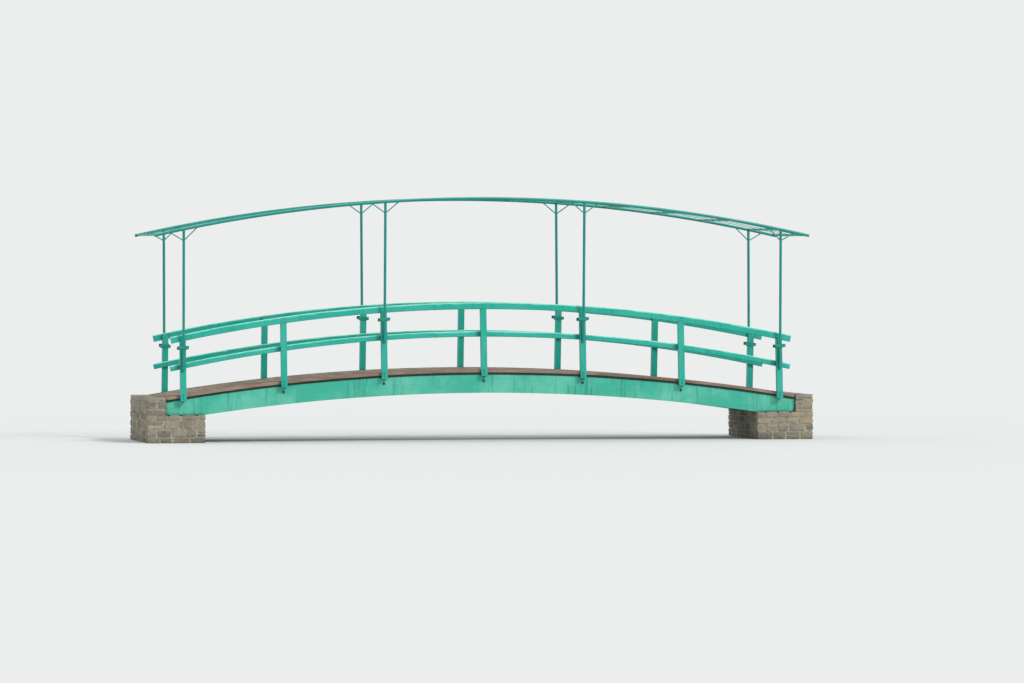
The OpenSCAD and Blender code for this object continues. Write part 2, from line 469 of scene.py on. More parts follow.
def add_node(kind, inputs, tree=None, **settings):
    """A new shader node, in the tree of the sockets that feed it unless one is given."""
    feeding = (value for value in inputs.values() if isinstance(value, bpy.types.NodeSocket))
    node = (tree or next(feeding).id_data).nodes.new(f"ShaderNode{kind}")
    for name, setting in settings.items():
        setattr(node, name, setting)
    for key, value in inputs.items():
        feed(node.inputs[key], value)
    return node


def source(tree, kind, **settings):
    """Outputs of a new shader node that nothing feeds."""
    return add_node(kind, {}, tree, **settings).outputs


def math_node(operation, *values):
    """Output of a sum on one to three values."""
    return add_node("Math", dict(enumerate(values)), operation=operation).outputs[0]


def times(first, second):
    """Product of two values."""
    return math_node("MULTIPLY", first, second)


def vector_node(operation, *values, output="Vector"):
    """Output of a sum on one or two vectors."""
    return add_node("VectorMath", dict(enumerate(values)), operation=operation).outputs[output]


def stretched(vector, scale):
    """A vector stretched by a scale for each axis."""
    return vector_node("MULTIPLY", vector, scale)


def axis(vector, name):
    """One coordinate of a vector."""
    return add_node("SeparateXYZ", {0: vector}).outputs[name]


def ramp(value, low, high, to_low=0.0, to_high=1.0):
    """Output that runs from to_low to to_high while a value runs from low to high."""
    inputs = {"Value": value, "From Min": low, "From Max": high, "To Min": to_low, "To Max": to_high}
    return add_node("MapRange", inputs, interpolation_type="SMOOTHSTEP").outputs["Result"]


def noise(vector, scale, detail=4.0, roughness=0.55, distortion=0.0):
    """Output of a noise texture."""
    inputs = {"Vector": vector, "Scale": scale, "Detail": detail, "Roughness": roughness}
    return add_node("TexNoise", {**inputs, "Distortion": distortion}).outputs["Fac"]


def blend(factor, first, second, kind="MIX"):
    """Output that blends two colours."""
    inputs = {"Factor": factor, "A": first, "B": second}
    return add_node("Mix", inputs, data_type="RGBA", blend_type=kind, clamp_factor=True).outputs["Result"]


def layered(tone, *layers):
    """A colour under layers of others. Each layer has its mask, its strength and its colour."""
    for mask, strength, over in layers:
        tone = blend(times(mask, strength), tone, over)
    return tone


def shaded(tone, value, low, high, dark, light):
    """A colour made darker or lighter while a value runs from low to high."""
    return blend(1.0, tone, ramp(value, low, high, dark, light), "MULTIPLY")


def bumps(*layers):
    """Normal of bumps on top of each other. Each has its height, its distance and its strength."""
    inputs = {}
    for height, distance, strength in layers:
        inputs.update({"Height": height, "Distance": distance, "Strength": strength})
        inputs["Normal"] = add_node("Bump", inputs).outputs["Normal"]
    return inputs["Normal"]


def mixed(factor, first, second):
    """Output that mixes two shaders."""
    return add_node("MixShader", {0: factor, 1: first, 2: second}).outputs[0]


# Effects that the finishes share

def looking(place, kind="True Normal"):
    """The way that a face looks, in the tree of its place."""
    return source(place.id_data, "NewGeometry")[kind]


def wood_grain(place, stretch, scale, check_width):
    """Wood grain that runs along the axis in which the stretch is least."""
    along = stretched(place, stretch)
    warp = noise(along, times(scale, 0.3), 2.0, 0.45, 0.2)
    rings = math_node("SINE", times(warp, 70.0))
    # Checks are parallel lines that wander a little and break off
    across = vector_node("DOT_PRODUCT", along, (2.0, 2.0, 2.0), output="Value")
    wander = noise(along, times(scale, 1.2), 2.0, 0.4)
    level = math_node("ADD", times(across, scale), wander)
    line = ramp(math_node("PINGPONG", level, 0.5), 0.0, check_width, 1.0, 0.0)
    own = ramp(noise(along, times(scale, 1.7), 1.0), 0.50, 0.62)
    where = ramp(noise(place, 4.5, 2.0), 0.46, 0.62)
    return {
        "Figure": math_node("MULTIPLY_ADD", rings, 0.5, 0.5),
        "Fibre": noise(along, times(scale, 9.0), 4.0, 0.6),
        "Checks": times(line, times(own, where)),
    }


def rain_streaks(place, scale, low, high):
    """Streaks that rain and dirt draw down a face, in some places more than in others."""
    down = stretched(place, (1.0, 1.0, 0.07))
    fine = noise(down, scale, 4.0, 0.6, 0.2)
    where = noise(down, times(scale, 0.16), 2.0)
    return {"Streaks": times(ramp(fine, low, high), ramp(where, 0.38, 0.62))}


def corner_shade_and_grime(place, reach):
    """Painted shade in corners and under overhangs, where ambient occlusion finds them, broken up by patches
    of dirt.
    """
    shelter = add_node("AmbientOcclusion", {"Distance": reach}, samples=6).outputs["AO"]
    patchy = noise(place, 16.0, 4.0, 0.65)
    return {"Shade_and_grime": times(ramp(shelter, 0.35, 0.95, 1.0, 0.0), ramp(patchy, 0.30, 0.62, 0.35, 1.0))}


def cloudy_patches(place, scale, low, high):
    """Cloudy patches, and specks much smaller than them."""
    cloud = noise(place, scale, 6.0, 0.62, 0.5)
    speck = noise(place, times(scale, 34.0), 3.0, 0.7)
    return {"Patches": ramp(cloud, low, high), "Specks": ramp(speck, 0.62, 0.72)}


def rubbed_edges(place, radius, amount):
    """Mask of rubbed edges, broken up by noise."""
    rounded = add_node("Bevel", {"Radius": radius}, samples=4).outputs["Normal"]
    turn = vector_node("DOT_PRODUCT", rounded, looking(place, "Normal"), output="Value")
    level = math_node("ADD", noise(place, 21.0, 5.0, 0.7), times(amount, 0.5))
    return {"Wear": times(ramp(turn, 0.80, 0.99, 1.0, 0.0), ramp(level, 0.62, 0.78))}


def sky_side(way):
    """Mask of faces that look up to the sky."""
    return {"Up": ramp(axis(way, "Z"), 0.15, 0.85)}


def highlit_bleached_edge(place, crown, radius, reach):
    """Painted highlight along the upper edge of a curved, leaning rail, pale as if the sun had bleached it.
    """
    # Height up the lean over the centre of the rail's arc, and from it the depth below the rail's edge
    lean = math_node("DIVIDE", math_node("SUBTRACT", axis(place, "Z"), CROWN), math.cos(BATTER))
    over_crown = math_node("SUBTRACT", math_node("ADD", lean, CROWN), crown)
    upright = math_node("POWER", math_node("ADD", over_crown, radius), 2.0)
    along = math_node("POWER", math_node("ABSOLUTE", axis(place, "X")), 2.0)
    depth = math_node("SUBTRACT", radius, math_node("SQRT", math_node("ADD", upright, along)))
    fibre = noise(stretched(place, (0.05, 1.0, 1.0)), 70.0, 4.0, 0.65)
    cloud = noise(place, 2.4, 4.0, 0.6)
    uneven = times(ramp(fibre, 0.30, 0.70, 0.55, 1.25), ramp(cloud, 0.34, 0.66, 0.6, 1.1))
    pale = ramp(depth, 0.004, times(reach, uneven), 1.0, 0.0)
    return {"Bleach_and_highlight": times(pale, ramp(depth, -0.04, -0.03))}


# Each effect's name and function, and the sockets that it has after its vector
EFFECTS = (
    ("Wood grain", wood_grain, {"Stretch": (1, 1, 1), "Scale": 12, "Check width": 0.01}),
    ("Rain streaks", rain_streaks, {"Scale": 14, "Low": 0.5, "High": 0.7}),
    ("Corner grime", corner_shade_and_grime, {"Reach": 0.05}),
    ("Cloudy patches", cloudy_patches, {"Scale": 2, "Low": 0.4, "High": 0.62}),
    ("Rubbed edges", rubbed_edges, {"Radius": 0.004, "Amount": 0.5}),
    ("Sky side", sky_side, {}),
    ("Highlit bleached edge", highlit_bleached_edge, {"Crown": 2.0, "Radius": 24.0, "Reach": 0.034}),
)


def build_effect(name, make, sockets):
    """Makes an effect into a shader group. Its function is given the group's sockets in their order."""
    group = bpy.data.node_groups.new(name, "ShaderNodeTree")
    for key, default in {"Vector": (0, 0, 0), **sockets}.items():
        kind = "NodeSocketVector" if isinstance(default, tuple) else "NodeSocketFloat"
        group.interface.new_socket(key, in_out="INPUT", socket_type=kind).default_value = default
    made = make(*group.nodes.new("NodeGroupInput").outputs[:-1])
    put = group.nodes.new("NodeGroupOutput").inputs
    for key, value in made.items():
        group.interface.new_socket(key, in_out="OUTPUT", socket_type="NodeSocketFloat")
        group.links.new(value, put[key])


def effect(name, vector, **values):
    """Outputs of a shader group placed in a material. Underscores in the names stand for spaces."""
    inputs = {key.replace("_", " "): value for key, value in values.items()}
    return add_node("Group", {"Vector": vector, **inputs}, node_tree=bpy.data.node_groups[name]).outputs


# Finishes

def new_material(name):
    """A material and its Object coordinates."""
    material = bpy.data.materials.new(name)
    material.use_nodes = True
    return material, source(material.node_tree, "TexCoord")["Object"]


def surface(material, tone, roughness, normal, specular=0.5):
    """Feeds a material's shader, and returns the material."""
    inputs = material.node_tree.nodes["Principled BSDF"].inputs
    feed(inputs["Base Color"], tone)
    feed(inputs["Roughness"], roughness)
    feed(inputs["Normal"], normal)
    feed(inputs["Specular IOR Level"], specular)
    return material


def painted_timber(name, colours, stretch, streaks, wear, chalk, dirt=0.5, crowns=()):
    """Blue-green paint on timber: brushed along the grain, lighter on top from sun fading and painted sky
    light, streaked down its sides, with painted shade and dirt in its corners, and on rails a painted
    highlight along their upper edges.
    """
    main, faded_and_sky_lit, deep = colours
    material, place = new_material(name)
    grain = effect("Wood grain", place, Stretch=stretch, Scale=14.0, Check_width=0.03)
    streak = effect("Rain streaks", place, Scale=24.0, Low=0.48, High=0.70)["Streaks"]
    patches = effect("Cloudy patches", place, Scale=1.3, Low=0.36, High=0.70)
    worn = effect("Rubbed edges", place, Radius=0.005, Amount=wear)["Wear"]
    shade_and_grime = effect("Corner grime", place, Reach=0.06)["Shade_and_grime"]
    up = effect("Sky side", looking(place))["Up"]
    # Upward faces are lighter: partly sun fading, partly painted sky light
    tone = layered(main, (patches["Patches"], chalk, faded_and_sky_lit), (streak, streaks, deep), (up, 0.62, faded_and_sky_lit))
    # Painted highlight along the rails' upper edges, pale like sun bleaching
    for crown in crowns:
        edge_highlight = effect("Highlit bleached edge", place, Crown=crown, Radius=RAIL_RADIUS)["Bleach_and_highlight"]
        tone = layered(tone, (edge_highlight, 0.8, BLEACHED_HIGHLIGHT))
    tone = shaded(tone, grain["Fibre"], 0.25, 0.75, 0.93, 1.05)
    # Painted shade in corners and under overhangs, mixed with dirt; dirt sets its strength
    tone = layered(tone, (shade_and_grime, dirt, PAINT_SHADE_AND_GRIME), (grain["Checks"], 0.55, PAINT_CHECKS),
                   (patches["Specks"], 0.12, PAINT_SPECKS), (worn, 0.65, BARE_WOOD))
    matt = times(math_node("MAXIMUM", worn, streak), 0.2)
    roughness = math_node("ADD", ramp(grain["Fibre"], 0.2, 0.8, 0.40, 0.52), matt)
    normal = bumps((grain["Fibre"], 0.0011, 0.5), (grain["Figure"], 0.0005, 0.4),
                   (grain["Checks"], -0.0015, 0.8))
    return surface(material, tone, roughness, normal, 0.22)


def painted_metal(name, main, faded_and_sky_lit, rust):
    """Satin paint on steel tube, with chips and rust at its edges, a top lighter from dust and painted sky
    light, and painted shade and dirt in its corners.
    """
    material, place = new_material(name)
    patches = effect("Cloudy patches", place, Scale=3.1, Low=0.42, High=0.70)
    worn = effect("Rubbed edges", place, Radius=0.003, Amount=0.5)["Wear"]
    shade_and_grime = effect("Corner grime", place, Reach=0.03)["Shade_and_grime"]
    up = effect("Sky side", looking(place))["Up"]
    # Upward faces are lighter: partly dust, partly painted sky light
    tone = layered(main, (patches["Patches"], 0.35, TUBE_SHADE), (up, 0.45, faded_and_sky_lit),
                   # Painted shade in corners, mixed with dirt
                   (shade_and_grime, 0.5, TUBE_SHADE_AND_GRIME))
    chips = math_node("MAXIMUM", times(patches["Specks"], 0.4), times(worn, 0.6))
    roughness = ramp(patches["Patches"], 0.0, 1.0, 0.32, 0.46)
    normal = bumps((noise(place, 160.0, 2.0), 0.0004, 0.5))
    return surface(material, blend(chips, tone, rust), roughness, normal, 0.35)


def bare_timber(name, tones, stretch, attribute=None):
    """Weathered bare timber with open grain. Boards of their own tone are trodden clean in the middle."""
    main, dark, silver = tones
    material, place = new_material(name)
    if attribute:
        own = source(place.id_data, "Attribute", attribute_name=attribute)
        shade = own["Fac"]
        wood = vector_node("ADD", place, stretched(own["Vector"], (9.0, 5.0, 7.0)))
        edgeward = ramp(math_node("ABSOLUTE", axis(place, "Y")), 0.25, 0.90)
    else:
        shade = ramp(noise(place, 1.1, 2.0), 0.35, 0.65)
        wood = place
        edgeward = ramp(noise(place, 0.7, 2.0), 0.40, 0.65, 0.2, 0.9)
    grain = effect("Wood grain", wood, Stretch=stretch, Scale=18.0, Check_width=0.045)
    streaky = stretched(wood, tuple(math.sqrt(share) for share in stretch))
    patches = effect("Cloudy patches", streaky, Scale=6.0, Low=0.38, High=0.72)["Patches"]
    shade_and_grime = effect("Corner grime", place, Reach=0.03)["Shade_and_grime"]
    worn = effect("Rubbed edges", place, Radius=0.004, Amount=0.6)["Wear"]
    tone = blend(ramp(shade, 0.0, 1.0, 0.55, 0.0), main, dark)
    tone = layered(tone, (patches, 0.6, silver))
    tone = shaded(tone, grain["Figure"], 0.0, 1.0, 0.87, 1.04)
    tone = shaded(tone, grain["Fibre"], 0.25, 0.75, 0.84, 1.12)
    damp = ramp(patches, 0.0, 1.0, 0.5, 0.12)
    # Painted shade between the boards and in corners, mixed with dirt
    tone = layered(tone, (edgeward, damp, ALGAE), (worn, 0.35, silver), (shade_and_grime, 0.65, WOOD_SHADE_AND_GRIME),
                   (grain["Checks"], 0.7, WOOD_CHECKS))
    normal = bumps((grain["Fibre"], 0.0022, 0.7), (grain["Figure"], 0.0012, 0.5),
                   (grain["Checks"], -0.004, 0.9))
    return surface(material, tone, ramp(grain["Fibre"], 0.2, 0.8, 0.70, 0.9), normal, 0.3)


def rubble(name, main, attribute):
    """Rough stone, each one of its own tone, with lichen in spots and damp below."""
    material, place = new_material(name)
    shade = source(place.id_data, "Attribute", attribute_name=attribute)["Fac"]
    patches = effect("Cloudy patches", place, Scale=4.0, Low=0.46, High=0.66)["Patches"]
    shade_and_grime = effect("Corner grime", place, Reach=0.05)["Shade_and_grime"]
    veins = noise(stretched(place, (1.0, 1.0, 2.6)), 14.0, 6.0, 0.62, 0.4)
    grit = noise(place, 110.0, 4.0, 0.7)
    lichen = ramp(noise(place, 46.0, 3.0, 0.55), 0.63, 0.67)
    tone = blend(ramp(shade, 0.0, 0.7), STONE_DARK, main)
    tone = blend(ramp(shade, 0.72, 1.0, 0.0, 0.7), tone, STONE_OCHRE)
    tone = blend(ramp(veins, 0.38, 0.66, 0.0, 0.32), tone, STONE_VEINS)
    tone = shaded(tone, grit, 0.28, 0.72, 0.76, 1.16)
    # Painted shade in the hollows between stones, mixed with dirt
    tone = layered(tone, (patches, 0.22, STONE_STAIN), (lichen, 0.45, LICHEN), (shade_and_grime, 0.55, STONE_SHADE_AND_GRIME))
    wavy = math_node("ADD", axis(place, "Z"), times(veins, 0.12))
    tone = blend(ramp(wavy, 0.06, 0.24, 0.5, 0.0), tone, STONE_DAMP)
    normal = bumps((veins, 0.010, 0.8), (grit, 0.003, 0.9))
    return surface(material, tone, ramp(wavy, 0.06, 0.24, 0.6, 0.9), normal)


def lime_mortar(name, main):
    """Sandy mortar in two mingled tones."""
    material, place = new_material(name)
    sand = noise(place, 120.0, 3.0, 0.7)
    tone = blend(ramp(noise(place, 9.0, 5.0), 0.35, 0.65, 0.0, 0.6), main, SAND)
    return surface(material, shaded(tone, sand, 0.2, 0.8, 0.84, 1.08), 0.92, bumps((sand, 0.003, 0.8)))


def painted_fixings(name, main, rust):
    """Steel heads and nuts, painted over with the timber, with rust coming through at their edges."""
    material, place = new_material(name)
    patches = effect("Cloudy patches", place, Scale=30.0, Low=0.50, High=0.66)["Patches"]
    worn = effect("Rubbed edges", place, Radius=0.0012, Amount=0.6)["Wear"]
    bare = times(math_node("MAXIMUM", patches, worn), 0.55)
    normal = bumps((noise(place, 240.0, 3.0), 0.0006, 0.6))
    return surface(material, blend(bare, main, rust), ramp(bare, 0.0, 0.55, 0.42, 0.8), normal, 0.3)


def rusty_nails(name, rust):
    """Bare nail heads, brown with rust and rubbed bright by feet."""
    material, place = new_material(name)
    patches = effect("Cloudy patches", place, Scale=60.0, Low=0.40, High=0.62)["Patches"]
    normal = bumps((noise(place, 300.0, 2.0), 0.0005, 0.6))
    return surface(material, blend(patches, rust, NAIL_STEEL), ramp(patches, 0.0, 1.0, 0.85, 0.5), normal)


# The finish of each CAD node, by the start of its name
NODE_FINISHES = (
    ("top_rail", "rails"), ("mid_rail", "rails"), ("post", "posts"), ("side_beam", "beams"),
    ("centre_beam", "beams"), ("cross_bearers", "bearers"), ("pole", "metal"), ("trellis", "metal"),
    ("deck_edge", "edge"), ("deck", "boards"), ("abutment", "mortar"),
)


class BRIDGE_OT_finishes(bpy.types.Operator):
    """Build the finishes and give every CAD node its own"""
    bl_idname = "bridge.finishes"
    bl_label = "Finishes"

    def execute(self, context):
        for entry in EFFECTS:
            build_effect(*entry)
        c = context.scene.bridge_colours
        rail = (c.rail_paint, c.rail_faded_and_sky_lit, c.rail_deep)
        beam = (c.beam_paint, c.beam_chalked_and_sky_lit, c.beam_deep)
        # The packer's colours are painted shadow under the edge planks
        stained = (c.packer, c.beam_deep, c.packer)
        # Heights of the upper edges of the top and mid rails, where the highlight is painted
        crowns = (RAIL_CROWN + POST_DEPTH * math.tan(BATTER), RAIL_CROWN - MID_RAIL_DROP)
        lengthwise = (0.03, 1.0, 1.0)
        upright = (1.0, 1.0, 0.03)
        crosswise = (1.0, 0.04, 1.0)
        MATERIALS.update({
            "rails": painted_timber("Rail paint", rail, lengthwise, 0.30, 0.50, 0.14, crowns=crowns),
            "posts": painted_timber("Post paint", rail, upright, 0.35, 0.50, 0.14),
            # On the beams the painted shade is strong, darkest under the deck's edge planks
            "beams": painted_timber("Beam paint", beam, lengthwise, 0.60, 0.55, 0.60, 0.95),
            "bearers": painted_timber("Bearer paint", beam, crosswise, 0.5, 0.4, 0.3, 0.8),
            "packers": painted_timber("Packer shadow paint", stained, lengthwise, 0.5, 0.3, 0.2, 0.95),
            "metal": painted_metal("Tube paint", c.metal_paint, c.rail_faded_and_sky_lit, c.rust),
            "fixings": painted_fixings("Painted fixings", c.rail_paint, c.rust),
            "bolts": painted_fixings("Beam bolts", c.bolt, c.rust),
            "nails": rusty_nails("Nails", c.rust),
            "boards": bare_timber("Deck boards", (c.board, c.board_dark, c.board_grey), crosswise, "tone"),
            "edge": bare_timber("Edge timber", (c.edge, c.edge_dark, c.board_grey), lengthwise),
            "stone": rubble("Rubble", c.stone, "tone"),
            "mortar": lime_mortar("Mortar", c.mortar),
        })
        for name, node in NODES.items():
            finish = next(finish for start, finish in NODE_FINISHES if name.startswith(start))
            node.data.materials.clear()
            node.data.materials.append(MATERIALS[finish])
        return {"FINISHED"}


# Deck

class BRIDGE_OT_deck_boards(bpy.types.Operator):
    """Lay the deck's cross boards with open gaps, and nail them to the beams"""
    bl_idname = "bridge.deck_boards"
    bl_label = "Deck boards"

    def execute(self, context):
        sizes = context.scene.bridge_sizes
        chance = random.Random(7)
        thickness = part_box("deck")[1].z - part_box("centre_beam")[1].z
        half_angle = math.asin(DECK_END / DECK_RADIUS)
        count = round(2 * half_angle * DECK_RADIUS / (sizes.board_width + sizes.board_gap))
        step = 2 * half_angle / count
        width = step * (DECK_RADIUS - thickness) - sizes.board_gap
        board = bevel_all(cube("board", (width, 2 * DECK_HALF, thickness)), sizes.board_round)
        boards = []
        nails = []
        for n in range(count):
            stand = on_deck((n + 0.5) * step - half_angle, above=-chance.uniform(0.0, BOARD_SINK))
            turn = Matrix.Rotation(math.radians(chance.uniform(-BOARD_TURN, BOARD_TURN)), 4, "Z")
            piece = copy_to(board, stand @ turn @ Matrix.Translation((0, 0, -thickness / 2)))
            give_tone(piece, chance.random())
            boards.append(piece)
            for beam in (-1, 0, 1):
                for end in ENDS:
                    y = beam * (DECK_HALF - NAIL_INSET) + chance.uniform(-NAIL_STRAY_Y, NAIL_STRAY_Y)
                    x = end * width * NAIL_REACH + chance.uniform(-NAIL_STRAY_X, NAIL_STRAY_X)
                    nails.append(stand @ Matrix.Translation((x, y, -NAIL_SINK)))
        finish_piece(joined("deck_boards", boards), "boards", "deck_boards", "deck")
        discard(board)
        spread("deck_nails", round_head("nail", sizes.nail_head, NAIL_HEIGHT), nails, "nails")
        return {"FINISHED"}


def curved_bar(name, y_ends, z_ends, x_ends):
    """A bar bent along the deck. Its section runs from y to y and from z to z over the walking surface."""
    bar = primitive(name, bpy.ops.mesh.primitive_plane_add, size=1)
    edit(bar, "VERT")
    bpy.ops.transform.resize(value=(z_ends[1] - z_ends[0], y_ends[1] - y_ends[0], 1))
    bpy.ops.mesh.bevel(offset=PLANK_ROUND, segments=2, affect="VERTICES")
    done()
    first, last = (math.asin(x / DECK_RADIUS) for x in x_ends)
    place = on_deck(first, sum(y_ends) / 2, sum(z_ends) / 2)
    bar.data.transform(place @ Matrix.Rotation(math.radians(90), 4, "Y"))
    edit(bar)
    bpy.ops.mesh.spin(
        steps=PLANK_STEPS, angle=first - last, center=(0, 0, CROWN - DECK_RADIUS), axis=(0, 1, 0))
    bpy.ops.mesh.select_all(action="SELECT")
    bpy.ops.mesh.normals_make_consistent(inside=False)
    return done()


class BRIDGE_OT_deck_edges(bpy.types.Operator):
    """Run bare planks along the deck's edges, over recessed packers on the beams' faces"""
    bl_idname = "bridge.deck_edges"
    bl_label = "Deck edges"

    def execute(self, context):
        sizes = context.scene.bridge_sizes
        joints = [-DECK_END, *POST_X[1:-1], DECK_END]
        packers = []
        for side, name in zip(SIDES, ("front", "back")):
            face = sorted((side * DECK_HALF, side * EDGE_FACE))
            seat = sorted((side * DECK_HALF, side * (DECK_HALF + sizes.packer)))
            planks = []
            for start, end in zip(joints, joints[1:]):
                x_ends = (start + BUTT_GAP / 2, end - BUTT_GAP / 2)
                planks.append(curved_bar("plank", face, (-sizes.edge_height, 0), x_ends))
                packers.append(curved_bar("packer", seat, (-EDGE_DEPTH, -sizes.edge_height), x_ends))
            finish_piece(joined(f"edge_planks_{name}", planks), "edge", "bare_edge", f"deck_edge_{name}")
        # The packers carry the painted shadow under the planks
        finish_piece(joined("edge_packers", packers), "packers", "beam_paint")
        return {"FINISHED"}


# Bolts, screws, nuts and welds

class BRIDGE_OT_beam_bolts(bpy.types.Operator):
    """Bolt the side beams to the bearers, under the posts"""
    bl_idname = "bridge.beam_bolts"
    bl_label = "Beam bolts"

    def execute(self, context):
        sizes = context.scene.bridge_sizes
        face_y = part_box("side_beam_back")[1].y
        places = [facing(Vector((x, side * face_y, deck_z(x) - BOLT_DROP)), Vector((0, side, 0)))
                  for side in SIDES for x in POST_X[1:-1]]
        bolt = hex_bolt("bolt", sizes.bolt_head, BOLT_HEIGHT, sizes.washer, BOLT_WASHER_HEIGHT)
        spread("beam_bolts", bolt, places, "bolts")
        return {"FINISHED"}


class BRIDGE_OT_railing_screws(bpy.types.Operator):
    """Fasten the rails to the posts and the posts to the deck's edge"""
    bl_idname = "bridge.railing_screws"
    bl_label = "Railing screws"

    def execute(self, context):
        screws = []
        bolts = []
        for side in SIDES:
            out = outwards(side)
            for x in POST_X:
                top = rail_h(x)
                for screw_x in (x - SCREW_SPREAD, x + SCREW_SPREAD):
                    for below in TOP_SCREW_DROPS:
                        screws.append(facing(on_railing(side, screw_x, POST_DEPTH, top - below), out))
                    for below in MID_SCREW_DROPS:
                        h = top - MID_RAIL_DROP - below
                        screws.append(facing(on_railing(side, screw_x, -MID_RAIL_THICKNESS, h), -out))
                for below in POST_BOLT_DROPS:
                    bolts.append(facing(on_railing(side, x, POST_DEPTH, deck_z(x) - below), out))
        screw = round_head("screw", context.scene.bridge_sizes.screw_head, SCREW_HEIGHT, 16)
        spread("railing_screws", screw, screws, "fixings")
        spread("post_bolts", hex_bolt("post_bolt", *POST_BOLT), bolts, "fixings")
        return {"FINISHED"}


class BRIDGE_OT_clamp_nuts(bpy.types.Operator):
    """Put nuts on the bolts of the pole clamps"""
    bl_idname = "bridge.clamp_nuts"
    bl_label = "Clamp nuts"

    def execute(self, context):
        places = []
        for side in SIDES:
            out = outwards(side)
            for x in POLE_X:
                h = rail_h(x) - CLAMP_DROP
                reach = (pole_y(x, h) - inner_y(h)) * math.cos(BATTER) + POLE_D / 2 - STRAP_BITE
                for across in (BOLT_INSET - STRAP_LENGTH / 2, STRAP_LENGTH / 2 - BOLT_INSET):
                    places.append(facing(on_railing(side, x + across, reach + STRAP_THICKNESS, h), out))
                    places.append(facing(on_railing(side, x + across, -STRAP_THICKNESS, h), -out))
        nut = hex_bolt("nut", context.scene.bridge_sizes.nut, NUT_HEIGHT, *NUT_WASHER)
        spread("clamp_nuts", nut, places, "fixings")
        return {"FINISHED"}


def weld_loop(name, tube_r, onto_r, bead, points=40):
    """Bead of weld round a tube that is coped onto a larger one, whose axis is X through the origin."""
    curve = bpy.data.curves.new(name, "CURVE")
    curve.dimensions = "3D"
    curve.bevel_depth = bead
    curve.bevel_resolution = 1
    spline = curve.splines.new("POLY")
    spline.points.add(points - 1)
    for n, point in enumerate(spline.points):
        angle = 2 * math.pi * n / points
        x = tube_r * math.cos(angle)
        y = tube_r * math.sin(angle)
        point.co = (x, y, -math.sqrt(onto_r ** 2 - y ** 2), 1)
    spline.use_cyclic_u = True
    loop = bpy.data.objects.new(name, curve)
    bpy.context.collection.objects.link(loop)
    choose(loop)
    bpy.ops.object.convert(target="MESH")
    return bpy.context.object


class BRIDGE_OT_trellis_welds(bpy.types.Operator):
    """Lay weld beads where the poles meet the trellis tubes, and cap the tubes' ends"""
    bl_idname = "bridge.trellis_welds"
    bl_label = "Trellis welds and caps"

    def execute(self, context):
        beads = []
        caps = []
        for side in SIDES:
            for x in POLE_X:
                slope = Matrix.Rotation(math.asin(x / TRELLIS_RADIUS), 4, "Y")
                lean = math.atan2(side * (CHORD_Y - pole_foot_y(x)), tube_z(x) - pole_foot_z(x))
                foot = Matrix.Translation((x, side * CHORD_Y, tube_z(x)))
                beads.append(foot @ slope @ Matrix.Rotation(-lean, 4, "X"))
            for end in ENDS:
                x = end * (END_POST_X + CHORD_OVERRUN)
                along = Vector((end * math.cos(x / TRELLIS_RADIUS), 0, -abs(math.sin(x / TRELLIS_RADIUS))))
                caps.append(facing(Vector((x, side * CHORD_Y, tube_z(x))), along))
        spread("weld_beads", weld_loop("bead", POLE_D / 2, CHORD_D / 2, WELD_BEAD), beads, "metal")
        spread("tube_caps", round_head("cap", CHORD_D, CAP_HEIGHT, 28), caps, "metal")
        return {"FINISHED"}


# Masonry

def stone_master(name, seed, roundness):
    """A roughly squared stone that fills a box one unit each way."""
    stone = primitive(name, bpy.ops.mesh.primitive_cube_add, size=1)
    edit(stone)
    bpy.ops.mesh.subdivide(number_cuts=3)
    bpy.ops.transform.tosphere(value=roundness)
    bpy.ops.transform.vertex_random(offset=0.045, uniform=0.6, normal=0.4, seed=seed)
    bpy.ops.mesh.vertices_smooth(factor=0.3, repeat=1)
    done()
    middle = sum((Vector(corner) for corner in stone.bound_box), Vector()) / 8
    fit = Matrix.Diagonal([1 / size for size in stone.dimensions]).to_4x4()
    stone.data.transform(fit @ Matrix.Translation(-middle))
    return stone


def shares(total, mean, chance):
    """Lengths of about a mean that fill a total."""
    count = max(1, round(total / mean))
    weights = [chance.uniform(0.72, 1.28) for _ in range(count)]
    scale = total / sum(weights)
    return [weight * scale for weight in weights]


def lay_stone(masters, start, end, joint, chance):
    """One stone of its own tone between two corners, less the joint round it."""
    size = [b - a - joint for a, b in zip(start, end)]
    middle = [(a + b) / 2 for a, b in zip(start, end)]
    about_z, about_x = (Matrix.Rotation(math.pi * chance.randrange(2), 4, way) for way in "ZX")
    place = Matrix.Translation(middle) @ Matrix.Diagonal((*size, 1)) @ about_z @ about_x
    stone = copy_to(chance.choice(masters), place)
    give_tone(stone, chance.random())
    return stone


def with_margin(low, high, joint):
    """The corners of a block moved out by half a joint, so that its outer stones reach its faces."""
    return [value - joint / 2 for value in low], [value + joint / 2 for value in high]


